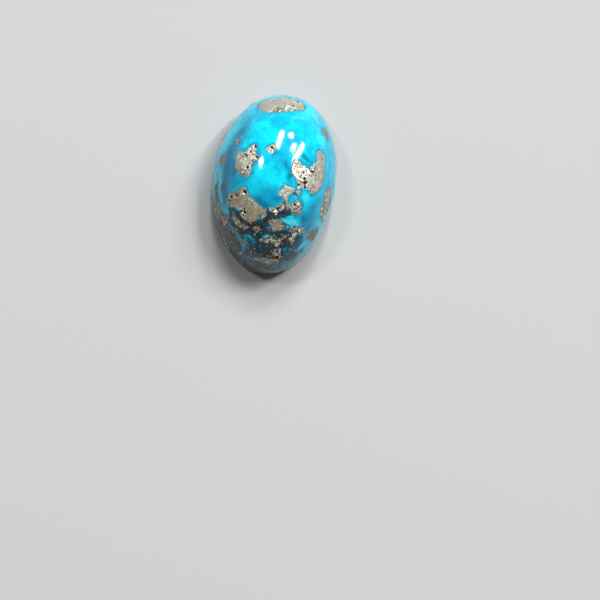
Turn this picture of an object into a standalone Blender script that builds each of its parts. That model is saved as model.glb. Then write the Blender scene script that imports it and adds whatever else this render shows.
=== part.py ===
"""A polished turquoise cabochon with pyrite grown through it, as one solid.

Metres, +Z up. The sawn back lies on the ground plane, the origin is at the
middle of it, and the long axis of the oval runs along Y.
"""

import math

import bmesh
import bpy
from mathutils import Vector

MM = 0.001

# Driving dimensions of the cut stone
LENGTH = 20.6 * MM
WIDTH = 14.0 * MM
HEIGHT = 9.0 * MM
WALL_TOP = 1.4 * MM         # the upright girdle wall ends here and the dome begins
EDGE_GRIND = 0.5 * MM       # the ground edge round the back

# How full the dome is: 2 is an ellipsoid, and more is boxier
PLAN_FULLNESS = 2.25
RISE_FULLNESS = 2.1

# The oval is hand cut, so it leans a little towards a rounded triangle
EGG = 0.016
EGG_TURN = math.radians(42.1)

# Hand polishing leaves the dome uneven, and pyrite a hair prouder than turquoise
UNEVEN = 0.04 * MM
UNEVEN_WAVES = ((0.9, 0.35, 0.4), (-0.45, 0.8, 1.9), (0.3, -1.05, 3.1))
PYRITE_RISE = 0.06 * MM
PYRITE_EDGE = 0.35 * MM     # the slope from the turquoise up to the pyrite
RIM_FADE = 0.9 * MM         # both fade out over this height above the wall

# The larger pyrite patches: centre x and y, length, width, and turn from +X
PYRITE = (
    (-0.85, 8.10, 5.1, 1.8, 6),
    (-3.95, 1.10, 3.9, 2.0, 71),
    (1.95, 0.55, 3.5, 1.6, 108),
    (3.95, 0.20, 3.4, 2.2, 90),
    (4.25, 2.40, 2.6, 0.9, 102),
    (0.85, -1.85, 1.6, 1.2, -25),
    (2.10, -3.25, 1.9, 1.3, 75),
    (0.25, -3.70, 1.4, 0.9, 0),
    (-4.00, -3.00, 2.5, 2.3, 60),
    (-2.35, -4.75, 3.6, 2.3, -15),
    (0.50, -5.50, 1.5, 1.3, 30),
    (5.70, -2.00, 3.9, 1.0, 92),
    (2.80, -5.60, 2.4, 1.0, -10),
    (4.40, -5.60, 1.4, 0.9, 70),
    (0.40, -7.20, 2.6, 0.9, -12),
    (1.00, -8.20, 1.6, 0.9, 85),
    (0.40, -9.30, 2.6, 0.6, -4),
)

# The dome is a square grid with this many cells from the middle to the girdle
RINGS = 30


def clear_scene():
    for item in list(bpy.data.objects):
        bpy.data.objects.remove(item, do_unlink=True)


def smooth_step(value):
    """0 below 0, 1 above 1 and a soft S between."""
    value = min(max(value, 0.0), 1.0)
    return value * value * (3.0 - 2.0 * value)


def disc_polar(a, b):
    """Take a point of the square to ring and angle, squares becoming circles."""
    ring = max(abs(a), abs(b))
    if ring == 0.0:
        return 0.0, 0.0
    if abs(a) >= abs(b):
        angle = math.pi / 4 * b / a + (0.0 if a > 0 else math.pi)
    else:
        angle = math.pi / 2 - math.pi / 4 * a / b + (0.0 if b > 0 else math.pi)
    return ring, angle


def outline(angle):
    """The girdle in plan: an ellipse times one plus a small threefold wave."""
    reach = 1.0 + EGG * math.cos(3.0 * (angle - EGG_TURN))
    return WIDTH / 2 * reach * math.cos(angle), LENGTH / 2 * reach * math.sin(angle)


def outline_middle(steps=720):
    """The middle of the outline's box, which becomes the origin."""
    points = [outline(2.0 * math.pi * step / steps) for step in range(steps)]
    xs, ys = zip(*points)
    return (min(xs) + max(xs)) / 2, (min(ys) + max(ys)) / 2


def pyrite_cover(x, y):
    """1 on a pyrite patch, 0 off it, with a slope between."""
    cover = 0.0
    for centre_x, centre_y, length, width, turn in PYRITE:
        along = math.radians(turn)
        dx = x - centre_x * MM
        dy = y - centre_y * MM
        u = (dx * math.cos(along) + dy * math.sin(along)) / (length * MM / 2)
        v = (dy * math.cos(along) - dx * math.sin(along)) / (width * MM / 2)
        inside = (1.0 - math.hypot(u, v)) * width * MM / 2
        cover = max(cover, smooth_step(inside / PYRITE_EDGE + 0.5))
    return cover


def relief(x, y, z):
    """How far the finished surface stands off the ideal dome."""
    waves = sum(math.cos((x * p + y * q) / MM + shift) for p, q, shift in UNEVEN_WAVES)
    uneven = UNEVEN * waves / len(UNEVEN_WAVES)
    raised = PYRITE_RISE * pyrite_cover(x, y)
    return (uneven + raised) * smooth_step((z - WALL_TOP) / RIM_FADE)


def dome_point(a, b, middle):
    """A grid point on the dome: a superellipse swept over the outline, with relief."""
    ring, angle = disc_polar(a, b)
    quarter = ring * math.pi / 2
    spread = math.sin(quarter) ** (2.0 / PLAN_FULLNESS)
    rise = max(math.cos(quarter), 0.0) ** (2.0 / RISE_FULLNESS) if ring < 1.0 else 0.0
    edge_x, edge_y = outline(angle)
    x = edge_x * spread - middle[0]
    y = edge_y * spread - middle[1]
    z = WALL_TOP + (HEIGHT - WALL_TOP) * rise
    slope = (z - WALL_TOP) / (2 * (HEIGHT - WALL_TOP)) ** 2
    normal = Vector((x / WIDTH ** 2, y / LENGTH ** 2, slope))
    if normal.length == 0.0:
        normal = Vector((0.0, 0.0, 1.0))
    return Vector((x, y, z)) + normal.normalized() * relief(x, y, z)


def lower_border(mesh, border, height, inset):
    """Extrude the open border straight down to a height, drawn in by the inset."""
    made = bmesh.ops.extrude_edge_only(mesh, edges=border)["geom"]
    for vertex in (part for part in made if isinstance(part, bmesh.types.BMVert)):
        vertex.co.x *= 1.0 - inset / (WIDTH / 2)
        vertex.co.y *= 1.0 - inset / (LENGTH / 2)
        vertex.co.z = height
    return [part for part in made if isinstance(part, bmesh.types.BMEdge) and part.is_boundary]


def stone_mesh():
    """Wrap a grid over the dome, draw its border down to the back and close it."""
    mesh = bmesh.new()
    bmesh.ops.create_grid(mesh, x_segments=2 * RINGS, y_segments=2 * RINGS, size=1.0)
    middle = outline_middle()
    for vertex in mesh.verts:
        vertex.co = dome_point(vertex.co.x, vertex.co.y, middle)
    border = [edge for edge in mesh.edges if edge.is_boundary]
    wall = lower_border(mesh, border, EDGE_GRIND, 0.0)
    back = lower_border(mesh, wall, 0.0, EDGE_GRIND)
    bmesh.ops.edgeloop_fill(mesh, edges=back)
    bmesh.ops.recalc_face_normals(mesh, faces=mesh.faces[:])
    quads = [face for face in mesh.faces if len(face.verts) == 4]
    bmesh.ops.triangulate(mesh, faces=quads, quad_method="SHORT_EDGE")
    return mesh


def paint(name, colour, roughness, metallic):
    material = bpy.data.materials.new(name)
    material.use_nodes = True
    shader = material.node_tree.nodes["Principled BSDF"]
    shader.inputs["Base Color"].default_value = (*colour, 1.0)
    shader.inputs["Roughness"].default_value = roughness
    shader.inputs["Metallic"].default_value = metallic
    return material


def build_stone(collection):
    mesh = stone_mesh()
    for face in mesh.faces:
        place = face.calc_center_median()
        on_dome = place.z > WALL_TOP + RIM_FADE / 2
        face.material_index = int(on_dome and pyrite_cover(place.x, place.y) > 0.5)
    data = bpy.data.meshes.new("stone")
    mesh.to_mesh(data)
    mesh.free()
    data.materials.append(paint("turquoise", (0.01, 0.42, 0.60), 0.12, 0.0))
    data.materials.append(paint("pyrite", (0.36, 0.34, 0.25), 0.35, 0.8))
    data.shade_smooth()
    data.set_sharp_from_angle(angle=math.radians(40))
    stone = bpy.data.objects.new("stone", data)
    collection.objects.link(stone)


def main():
    clear_scene()
    collection = bpy.data.collections.new("turquoise_cabochon")
    bpy.context.scene.collection.children.link(collection)
    build_stone(collection)


main()
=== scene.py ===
"""The finish of a polished turquoise cabochon: the stone, the pyrite set in it, and a stage.

The stone and the pyrite are worked out in millimetres and turned to metres as each mesh
is made. Places on the dome are given in plan, x across the oval and y along it.
"""

import itertools
import math

import bpy
import numpy as np
from bpy.props import FloatProperty, FloatVectorProperty, IntProperty, PointerProperty
from mathutils import Matrix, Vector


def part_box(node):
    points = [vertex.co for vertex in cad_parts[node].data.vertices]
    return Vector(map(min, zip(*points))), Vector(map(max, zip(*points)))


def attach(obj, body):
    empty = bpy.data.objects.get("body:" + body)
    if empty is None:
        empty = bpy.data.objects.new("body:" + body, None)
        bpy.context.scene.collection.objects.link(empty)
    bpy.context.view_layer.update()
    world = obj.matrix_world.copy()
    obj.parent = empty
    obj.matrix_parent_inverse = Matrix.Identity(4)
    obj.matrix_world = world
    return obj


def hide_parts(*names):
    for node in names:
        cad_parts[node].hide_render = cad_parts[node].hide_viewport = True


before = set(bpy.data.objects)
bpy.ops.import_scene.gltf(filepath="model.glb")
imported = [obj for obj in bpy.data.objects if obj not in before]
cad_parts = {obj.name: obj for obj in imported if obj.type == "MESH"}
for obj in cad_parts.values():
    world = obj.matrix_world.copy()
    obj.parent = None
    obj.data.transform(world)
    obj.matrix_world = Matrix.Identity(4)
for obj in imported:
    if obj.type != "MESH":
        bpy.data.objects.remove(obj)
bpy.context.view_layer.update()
STONE_LOW, STONE_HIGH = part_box("stone")

bl_info = {
    "name": "Turquoise Cabochon",
    "version": (1, 0, 0),
    "blender": (4, 5, 0),
    "location": "3D View > Sidebar > Turquoise",
    "description": "Adds a polished turquoise cabochon with pyrite, and a stage to see it on",
    "category": "Add Mesh",
}

MM = 0.001

# Waves that hand polishing left in the dome: radians per millimetre in x and y, and a shift,
# and the height above the wall over which they fade in
UNEVEN_WAVES = ((0.9, 0.35, 0.4), (-0.45, 0.8, 1.9), (0.3, -1.05, 3.1))
WAVE_FADE = 0.9

# Sizes of the tables of random numbers that noise and grains repeat, and where noise starts
NOISE_TABLE = 32
NOISE_START = 16.37
GRAIN_TABLE = 61

# Pyrite patches in plan: sparkle from 0 to 1, brightness, and a few outline points. The
# lower patches have less brightness, partly painted shade
PATCHES = {
    "crown": (0.5, 0.9, (
        (-3.35, 7.5), (-3.0, 8.45), (-2.2, 9.0), (-1.0, 9.4), (0.4, 9.5), (1.3, 9.2), (1.85, 8.6),
        (1.5, 8.0), (0.8, 7.85), (0.2, 7.6), (-0.5, 7.4), (-0.95, 7.15), (-1.7, 7.1), (-2.3, 7.0))),
    "left_upper": (0.8, 1.05, (
        (-3.3, 2.98), (-3.0, 2.6), (-2.95, 2.05), (-2.6, 1.9), (-2.65, 1.4), (-3.0, 1.05),
        (-3.3, 0.6), (-3.3, 0.0), (-3.5, -0.55), (-4.0, -0.7), (-4.5, -0.5), (-4.9, 0.3),
        (-5.08, 1.2), (-4.95, 2.0), (-4.6, 2.2), (-4.15, 2.15), (-3.9, 2.65))),
    "upper_glint": (0.9, 1.0, (
        (-1.85, 2.75), (-1.6, 3.1), (-1.15, 3.15), (-0.85, 2.85), (-1.0, 2.4), (-1.35, 2.15),
        (-1.7, 2.35))),
    "left_speck": (0.6, 0.8, (
        (-5.35, 3.3), (-5.2, 3.75), (-4.95, 3.7), (-4.8, 3.3), (-4.95, 2.85), (-5.2, 2.9))),
    "left_bead": (0.15, 0.6, (
        (-6.6, 1.2), (-6.45, 1.7), (-6.15, 1.75), (-6.05, 1.2), (-6.15, 0.65), (-6.5, 0.7))),
    "right_lobe": (0.75, 1.02, (
        (1.0, 1.05), (1.05, 1.65), (1.35, 2.0), (1.75, 2.05), (2.15, 1.85), (2.6, 1.7), (2.95, 1.4),
        (3.35, 1.8), (3.75, 2.0), (3.95, 1.0), (3.95, -0.2), (3.95, -1.3), (3.5, -1.15),
        (3.0, -1.0), (2.5, -1.15), (2.1, -1.05), (1.9, -0.7), (1.65, -0.3), (1.5, 0.0),
        (1.25, 0.45))),
    "right_bar": (0.3, 0.88, (
        (3.7, 3.1), (3.85, 3.55), (4.2, 3.65), (4.6, 3.4), (4.83, 2.9), (4.88, 2.1), (4.95, 1.5),
        (5.08, 1.0), (4.95, 0.3), (4.8, -0.45), (4.45, -0.95), (4.1, -1.4), (3.8, -1.3), (3.7, 0.0),
        (3.75, 1.5), (3.85, 2.3))),
    "cube": (0.3, 0.92, (
        (0.05, -2.0), (0.4, -1.3), (0.75, -1.0), (1.3, -1.1), (1.75, -1.3), (1.55, -1.75),
        (1.25, -2.1), (1.2, -2.5), (1.0, -2.8), (0.7, -2.45), (0.35, -2.25))),
    "cube_chip": (0.5, 0.9, (
        (2.05, -1.6), (2.2, -1.45), (2.5, -1.5), (2.55, -1.7), (2.3, -1.8))),
    "round": (0.45, 0.6, (
        (2.35, -2.3), (2.75, -2.5), (2.98, -2.85), (2.97, -3.6), (2.8, -4.05), (2.45, -4.25),
        (2.1, -4.1), (1.75, -3.75), (1.6, -3.3), (1.75, -2.85), (2.05, -2.45))),
    "sliver": (0.4, 0.55, (
        (1.1, -2.85), (1.3, -2.75), (1.5, -3.2), (1.42, -3.65), (1.2, -3.6), (1.08, -3.2))),
    "glints": (1.0, 1.0, (
        (-0.75, -3.95), (-0.35, -3.65), (-0.05, -3.5), (0.35, -3.35), (0.8, -3.2), (1.0, -3.45),
        (0.9, -3.85), (0.5, -4.05), (0.15, -4.3), (-0.15, -4.2), (-0.5, -4.2))),
    "left_large": (0.42, 0.74, (
        (-3.95, -1.85), (-3.6, -1.75), (-3.25, -2.1), (-3.0, -2.65), (-2.65, -3.0), (-2.3, -3.25),
        (-1.8, -3.55), (-1.25, -3.75), (-0.85, -4.0), (-0.65, -4.45), (-0.9, -4.8), (-1.3, -4.9),
        (-1.6, -5.1), (-1.95, -5.4), (-2.4, -5.65), (-2.9, -5.45), (-3.3, -5.15), (-3.7, -4.8),
        (-4.0, -4.35), (-4.3, -4.05), (-4.75, -3.95), (-5.1, -3.75), (-5.22, -3.2), (-5.2, -2.75),
        (-4.95, -2.5), (-4.45, -2.2))),
    "left_strip": (0.5, 0.5, (
        (-4.12, -4.58), (-3.9, -5.03), (-3.5, -5.42), (-3.0, -5.72), (-2.55, -5.93), (-2.35, -6.05),
        (-2.5, -6.25), (-2.95, -6.32), (-3.5, -6.12), (-4.0, -5.75), (-4.35, -5.25), (-4.5, -4.8),
        (-4.4, -4.5))),
    "middle_flat": (0.22, 0.66, (
        (-0.46, -5.05), (0.05, -4.82), (0.66, -4.72), (1.2, -5.0), (1.36, -5.43), (1.14, -5.92),
        (0.63, -6.16), (0.16, -6.16), (-0.09, -5.74), (-0.46, -5.42))),
    "lumps": (0.85, 0.55, (
        (-2.15, -6.1), (-1.9, -5.85), (-1.5, -5.85), (-1.25, -6.1), (-1.4, -6.6), (-1.8, -6.45))),
    "right_rim": (0.85, 0.75, (
        (5.75, 0.1), (6.1, 0.0), (6.3, -0.6), (6.4, -1.4), (6.3, -2.2), (6.15, -3.0), (5.95, -3.7),
        (5.7, -3.7), (5.45, -3.2), (5.25, -2.7), (5.2, -2.2), (5.3, -1.6), (5.35, -0.9),
        (5.5, -0.3))),
    "crown_rim": (0.15, 0.6, (
        (3.98, 6.3), (4.3, 6.7), (4.65, 6.55), (4.9, 6.1), (5.0, 5.5), (4.9, 5.2), (4.6, 5.5),
        (4.2, 5.85))),
    "lower_right": (0.95, 0.6, (
        (1.5, -5.2), (1.95, -5.35), (2.5, -5.15), (3.0, -5.2), (3.35, -4.95), (3.75, -5.1),
        (3.85, -5.5), (3.5, -5.8), (3.1, -5.9), (2.95, -6.4), (2.6, -6.9), (2.2, -6.6), (2.3, -6.0),
        (1.9, -5.8), (1.6, -5.6))),
    "lower_chip": (0.9, 0.5, (
        (1.15, -6.4), (1.4, -6.15), (1.8, -6.3), (1.75, -6.6), (1.4, -6.7))),
    "khaki": (0.2, 0.5, (
        (4.06, -5.97), (4.12, -5.51), (4.57, -5.08), (5.2, -4.8), (5.5, -4.9), (5.42, -5.39),
        (5.04, -5.89), (4.51, -6.18), (4.18, -6.19))),
    "lower_band": (0.95, 0.46, (
        (-1.25, -7.05), (-0.7, -6.9), (-0.25, -6.95), (0.0, -6.6), (0.5, -6.4), (0.8, -6.6),
        (1.25, -6.65), (1.45, -7.1), (1.2, -7.5), (0.8, -7.65), (0.4, -7.45), (-0.15, -7.6),
        (-0.65, -7.4), (-1.0, -7.35))),
    "lower_column": (0.9, 0.45, (
        (0.75, -7.65), (1.35, -7.6), (1.5, -8.2), (1.6, -8.75), (1.4, -9.0), (0.85, -8.85),
        (0.5, -8.45), (0.75, -8.1))),
    "foot": (0.45, 0.6, (
        (-1.5, -9.0), (-0.7, -9.0), (0.1, -8.95), (1.0, -8.9), (1.7, -8.95), (1.55, -9.25),
        (0.8, -9.5), (0.1, -9.55), (-0.7, -9.4))),
    "left_chip": (0.75, 0.34, (
        (-5.3, -5.0), (-4.9, -4.9), (-4.75, -5.4), (-4.6, -5.9), (-4.8, -6.1), (-5.1, -5.75))),
    "left_streak": (0.4, 0.42, (
        (-6.15, -3.6), (-5.85, -3.5), (-5.6, -4.2), (-5.5, -4.9), (-5.35, -5.7), (-5.0, -6.4),
        (-4.7, -7.1), (-4.95, -7.15), (-5.4, -6.4), (-5.8, -5.3), (-6.1, -4.4))),
}

# Where a patch was polished quite flat: x, y and radius
FLATS = (
    (-2.5, 7.9, 1.1), (-1.3, 8.6, 0.75), (0.1, 9.0, 0.5), (-4.75, 0.9, 0.65), (3.45, 0.1, 0.7),
    (4.3, 2.7, 0.7), (-4.1, -3.3, 0.7), (-3.3, -3.9, 0.6), (-2.5, -4.5, 0.8), (-1.6, -4.4, 0.7),
    (-2.9, -5.3, 0.5), (-3.7, -2.6, 0.4),
)

# Where a smooth patch has a cluster of bright and dark grains: x, y and radius
CLUSTERS = (
    (-3.5, -4.4, 0.5), (-4.5, -2.9, 0.4), (-3.6, -2.3, 0.3), (-1.3, -4.9, 0.4), (0.9, -1.7, 0.2),
    (2.5, -2.7, 0.3), (-3.1, -5.6, 0.35),
)

# Dark pits where grains fell out: x, y and radius
PITS = (
    (-4.35, -2.75, 0.17), (-3.55, -2.35, 0.19), (-4.85, -2.98, 0.16), (-3.72, -4.5, 0.15),
    (-3.22, -4.48, 0.16), (-3.72, 0.38, 0.15), (-3.2, 2.8, 0.14), (-3.62, 2.2, 0.12),
    (-2.88, 1.6, 0.14), (-4.1, 1.75, 0.1), (2.72, 0.05, 0.17), (2.88, -0.35, 0.22),
    (2.9, -0.85, 0.14), (2.15, -0.75, 0.13), (2.55, 0.75, 0.12), (3.6, 1.05, 0.15),
    (3.32, 1.1, 0.11), (4.52, 2.75, 0.11), (2.1, -2.95, 0.12), (-1.4, 2.88, 0.13),
    (1.22, -8.7, 0.17), (0.5, -8.5, 0.14), (0.75, -7.85, 0.13), (-1.4, 7.3, 0.11),
    (3.0, -5.75, 0.12), (0.35, -3.75, 0.1), (-2.85, -5.5, 0.15), (-3.3, -4.2, 0.09),
    (-2.15, -5.6, 0.14), (-1.65, -5.15, 0.11), (-3.3, -4.9, 0.12), (-0.8, -4.4, 0.1),
    (-4.95, -3.35, 0.1), (1.1, -5.3, 0.08),
)

# Noise that frays a patch's edge: share, size and seed
EDGE_FRAY = ((1.0, 0.6, 3), (0.6, 0.25, 4), (0.4, 0.11, 5))

# The depth given to points well outside every patch, and how far from a patch it starts
OUTSIDE = -2.0
PATCH_REACH = 1.5

# Hidden patches: points in an outline, least radius, how much more the largest has, the height
# that their middles reach, how much higher that is on the side that the drawn patches leave
# free, the bearing of that side from +X, and the seed of the first one's grains. Then least
# and most sparkle, brightness, and length over width.
HIDDEN_POINTS = 24
HIDDEN_RADIUS = 0.16
HIDDEN_MORE = 0.5
HIDDEN_TOP = 2.7
HIDDEN_RISE = 0.7
FREE_SIDE = math.radians(60)
HIDDEN_SEED = 100
HIDDEN_SPARKLE = (0.2, 0.9)
HIDDEN_TONE = (0.6, 0.9)
HIDDEN_LENGTH = (1.0, 2.1)

# Zones of colour: x, y, half length, half width, turn from +X in degrees, and strength.
# The deep zones down the left side, and the deep and rock zones round the lower end, are
# partly painted shade.
ZONES = {
    "deep": (
        (-5.8, 0.6, 3.6, 1.3, 90, 1.0), (-4.8, 4.5, 2.6, 1.0, 64, 0.75),
        (-4.4, -1.3, 1.6, 0.8, 10, 0.5), (-5.6, -2.6, 1.4, 0.7, 90, 0.9),
        (1.05, 0.3, 1.5, 0.45, 110, 0.85), (0.6, 1.6, 0.8, 0.5, 60, 0.5),
        (-1.3, -3.5, 1.8, 0.8, -20, 1.0), (3.35, -4.3, 0.9, 0.7, 90, 0.8),
        (4.3, -3.3, 2.2, 1.1, 95, 0.68), (4.2, -4.9, 0.7, 0.5, 0, 0.75),
        (-0.8, 6.9, 0.9, 0.3, 10, 0.4), (-5.1, 0.2, 1.3, 0.4, 80, 0.7),
        (5.0, -1.2, 0.8, 0.4, 60, 0.5), (2.6, 2.3, 0.9, 0.45, -20, 0.8),
        (0.1, -2.6, 0.6, 0.8, 60, 0.55), (-0.7, -2.0, 2.3, 1.2, -10, 0.62),
        (0.3, -6.6, 4.8, 2.1, 0, 1.0), (2.9, -8.4, 2.2, 1.0, 25, 0.85),
        (-3.4, -8.6, 2.4, 1.2, -35, 0.9), (0.0, -9.6, 5.0, 1.2, 0, 0.8),
        (-6.2, -3.4, 3.5, 0.8, 97, 0.7),
    ),
    "pale": (
        (1.2, 7.1, 1.3, 0.5, 10, 0.6), (2.0, -4.75, 1.3, 0.33, -14, 1.0),
        (3.0, -1.9, 0.7, 0.4, -20, 0.8), (5.9, 2.0, 2.6, 0.35, 92, 0.7),
        (4.0, -6.75, 1.2, 0.42, 38, 1.0), (-0.5, -6.9, 0.55, 0.36, 80, 1.0),
        (-2.2, -7.1, 0.7, 0.32, -22, 0.85), (1.9, -2.3, 0.6, 0.3, 20, 0.6),
        (-3.3, 6.6, 0.9, 0.3, 20, 0.35), (3.4, 7.3, 1.4, 0.3, -38, 0.8),
        (-6.2, 0.0, 0.9, 0.25, 85, 0.35), (5.3, -3.9, 1.0, 0.3, 80, 0.5),
        (4.5, -6.35, 0.5, 0.2, 0, 0.6),
    ),
    "rock": (
        (0.0, -8.6, 3.2, 1.1, 0, 0.66), (-3.8, -7.7, 1.9, 1.5, -40, 0.58),
        (1.1, -8.2, 1.1, 0.55, 95, 0.9), (-5.3, -5.4, 2.0, 0.8, 112, 0.95),
        (-6.4, -2.2, 1.9, 0.35, 90, 0.8), (-5.9, -1.7, 1.5, 0.7, 90, 0.3),
        (-4.5, -5.0, 1.1, 0.5, 90, 0.8), (-0.5, -5.1, 0.9, 0.5, 60, 0.9),
        (0.5, -4.1, 1.1, 0.5, 10, 0.95), (1.25, -3.2, 0.8, 0.35, 90, 0.7),
        (2.1, -6.4, 1.9, 0.85, -20, 0.95), (-1.7, -6.2, 1.5, 0.7, -15, 0.95),
        (0.2, -7.2, 1.7, 0.6, -10, 0.95), (1.7, -1.9, 0.4, 0.3, 0, 0.6),
        (-3.5, -5.3, 1.4, 0.32, -37, 0.95), (5.2, -5.3, 0.7, 0.4, 80, 0.85),
        (5.6, -1.4, 1.9, 0.3, 90, 0.45), (-3.1, -6.5, 1.6, 0.55, -10, 0.9),
        (1.4, -5.0, 0.5, 0.3, 0, 0.7), (3.1, -8.0, 1.6, 0.8, -10, 0.45),
        (-2.5, 1.3, 0.3, 0.5, 90, 0.4), (0.0, -9.9, 4.5, 0.8, 0, 0.7),
        (-3.6, -8.9, 2.2, 0.8, -38, 0.6), (-1.0, -5.5, 0.8, 0.3, 70, 0.35),
        (-6.3, -4.2, 1.8, 0.5, 105, 0.8),
    ),
    "rust": (
        (-2.65, -7.7, 0.7, 0.55, 0, 1.0), (-3.74, -6.84, 0.5, 0.3, 0, 0.95),
        (-1.75, -6.7, 0.3, 0.2, 60, 0.7), (-1.15, -8.7, 0.25, 0.18, 0, 0.7),
        (-6.45, -1.3, 0.35, 0.15, 90, 0.6), (1.7, -5.6, 0.3, 0.2, 0, 0.6),
        (-3.7, -5.0, 0.6, 0.2, 70, 0.35), (2.0, -4.2, 0.5, 0.14, 10, 0.6),
    ),
}

# How far noise bends the zones, and how deep they run into the stone
ZONE_BEND = 0.38
ZONE_DEPTH = 1.6

# Host rock low on the wall, with painted shade strongest at the foot: where along y it starts
# to climb and over what length it does, and its height and how softly it ends
FOOT_START = -4.2
FOOT_LENGTH = 4.0
ROCK_HEIGHT = 2.5
ROCK_FADE = 1.8

# The recess that takes an inlay: its depth, how far inside the patch it starts, and its slope
RECESS_DEPTH = 0.3
RECESS_START = 0.12
RECESS_SLOPE = 0.06

# Rings down the side: heights on the wall, the rounding of an edge as steps in and up, the
# flat ring inside the back's edge, and the height below which no patch reaches
WALL_RINGS = (1.1, 0.8)
EDGE_STEPS = ((0.0, 0.08), (0.02, 0.0), (0.06, -0.06))
BACK_RING = 0.2
LOWEST_PATCH = 0.6

# The stone's map: middle and half size of the dome and of the back, in u and in v
DOME_MAP = ((0.35, 0.34), (0.5, 0.49))
BACK_MAP = ((0.85, 0.13), (0.215, 0.195))

# Four strips of that map hold the side: the first one's left edge, the step to the next one,
# their width, lower edge and height
STRIP_LEFT = 0.71
STRIP_STEP = 0.07
STRIP_WIDTH = 0.065
STRIP_LOW = 0.44
STRIP_HEIGHT = 0.55

# A slab of pyrite: depth of its underside, how far it runs on outside the patch's edge, and the
# margin of its grid
SLAB_DEPTH = 0.34
SLAB_EDGE = 0.11
SLAB_MARGIN = 0.35

# A slab's top: how soon it rises at the patch's edge, how steeply it dives outside it, and the
# least and greatest height
RISE_LENGTH = 0.05
DIVE = 1.3
TOP_LIMITS = (-0.16, 0.14)

# Grains on a slab's top: how far noise bends their edges, their lean and step, how far inside
# the patch they start and how softly, and what share of them has fallen out
GRAIN_SHAKE = 0.08
GRAIN_LEAN = 0.5
GRAIN_STEP = 0.03
GRAIN_START = 0.03
GRAIN_FADE = 0.14
FALLEN_SHARE = 0.1

# Depths of a drawn pit and of the hole that a fallen grain leaves
PIT_DEPTH = 0.1
HOLE_DEPTH = 0.13

# The values that the pyrite's material reads at each vertex
PYRITE_VALUES = ("tone", "pit", "sparkle", "depth")

# The pyrite's map: each patch's place in its room, the room past its size, and a little slack
MAP_INSET = 0.05
MAP_ROOM = 0.15
MAP_SLACK = 1.02

# Highlights: the two ends of each lamp as directions from the stone, and its width there
LAMPS = {
    "lamp_long_left": ((-0.036, 0.782, 0.622), (-0.100, 0.470, 0.877), 0.11),
    "lamp_dot": ((0.160, 0.752, 0.639), (0.208, 0.675, 0.708), 0.11),
    "lamp_short": ((0.325, 0.580, 0.747), (0.275, 0.440, 0.855), 0.10),
    "lamp_long_right": ((0.548, 0.586, 0.596), (0.336, 0.276, 0.900), 0.10),
    "lamp_side": ((-0.455, 0.280, 0.845), (-0.545, 0.185, 0.818), 0.13),
}

# How strongly polished stone bends light
STONE_IOR = 1.5

# Where the camera's target lies in a square picture, in pixels, its height, and the width of
# the camera's sensor
PICTURE_SIZE = 600
TARGET_PIXEL = (274.8, 182.3)
TARGET_HEIGHT = 3 * MM
SENSOR = 36


def length_setting(name, description, default):
    """A setting that is a length."""
    return FloatProperty(
        name=name, description=description, default=default, unit="LENGTH", precision=5)


def colour_setting(name, description, default):
    """A setting that is a colour, as linear values."""
    return FloatVectorProperty(
        name=name, description=description, default=(*default, 1.0), subtype="COLOR", size=4)


class StoneSettings(bpy.types.PropertyGroup):
    """Shape of the cut stone. Its length, width and height are the frame's."""
    wall_top: length_setting(
        "Wall Top", "Height where the girdle wall ends and the dome begins", 1.4 * MM)
    edge_grind: length_setting("Edge Grind", "Width of the ground edge round the back", 0.5 * MM)
    plan_fullness: FloatProperty(
        name="Plan Fullness", description="Exponent of the dome in plan, 2 for an ellipsoid",
        default=2.25)
    rise_fullness: FloatProperty(
        name="Rise Fullness", description="Exponent of the dome in height, 2 for an ellipsoid",
        default=2.1)
    egg: FloatProperty(
        name="Egg", description="How far the oval leans to a rounded triangle", default=0.016)
    egg_turn: FloatProperty(
        name="Egg Turn", description="Where the egg's first corner points",
        default=math.radians(42.1), subtype="ANGLE")
    uneven: length_setting("Unevenness", "Height of the waves left by hand polishing", 0.04 * MM)
    cells: IntProperty(
        name="Cells", description="Mesh cells from the apex to the girdle, an even number",
        default=128, min=8)


class PyriteSettings(bpy.types.PropertyGroup):
    """Shape and number of the pyrite patches."""
    rise: length_setting("Rise", "How far pyrite stands proud of the softer turquoise", 0.014 * MM)
    wander: length_setting("Wander", "How far a patch's edge strays from its outline", 0.13 * MM)
    grain: length_setting("Grain", "Size of one pyrite grain", 0.26 * MM)
    spacing: length_setting("Spacing", "Mesh spacing on the pyrite", 0.058 * MM)
    hidden: IntProperty(
        name="Hidden Patches", description="Patches low on the sides, past the drawn ones", default=26)
    seed: IntProperty(name="Seed", description="Seed of the hidden patches", default=11)


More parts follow.
